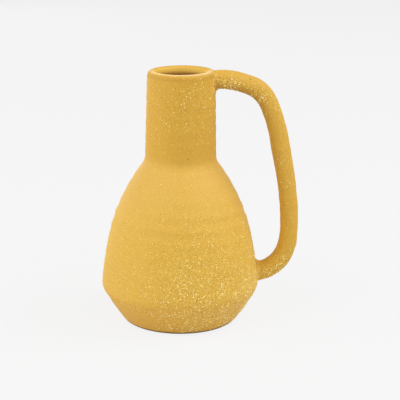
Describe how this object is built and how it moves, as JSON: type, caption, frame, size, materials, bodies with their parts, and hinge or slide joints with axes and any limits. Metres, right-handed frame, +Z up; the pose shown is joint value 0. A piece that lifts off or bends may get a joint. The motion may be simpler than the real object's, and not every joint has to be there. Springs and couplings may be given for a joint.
{
  "type": "one-handled ceramic jug",
  "caption": "Pear-shaped ceramic jug after the lekythos: conical foot, upright cylindrical neck with a rounded lip, and a round bar handle from the lip to the belly, in textured matt glaze.",
  "frame": {"origin": "on the vessel's axis, in the plane of the foot ring that it stands on", "axes": "+Z up along the vessel's axis and out of the mouth; +X from the axis towards the handle; +Y across the handle"},
  "size_m": [0.1955, 0.1562, 0.2505],
  "materials": {
    "matt_glaze": "matt sandy glaze, mustard yellow, with raised pale grains",
    "bare_clay": "unglazed fired clay, buff",
    "fired_slip": "fired slip in the joints"
  },
  "bodies": {
    "root": {"base_disc": "bare_clay", "base_coil": "matt_glaze", "foot_wall": "matt_glaze", "belly_seam_slip": "fired_slip", "belly_wall": "matt_glaze", "neck_seam_slip": "fired_slip", "neck_tube": "matt_glaze", "handle": "matt_glaze", "handle_neck_luting": "matt_glaze", "handle_belly_luting": "matt_glaze"}
  },
  "joints": []
}
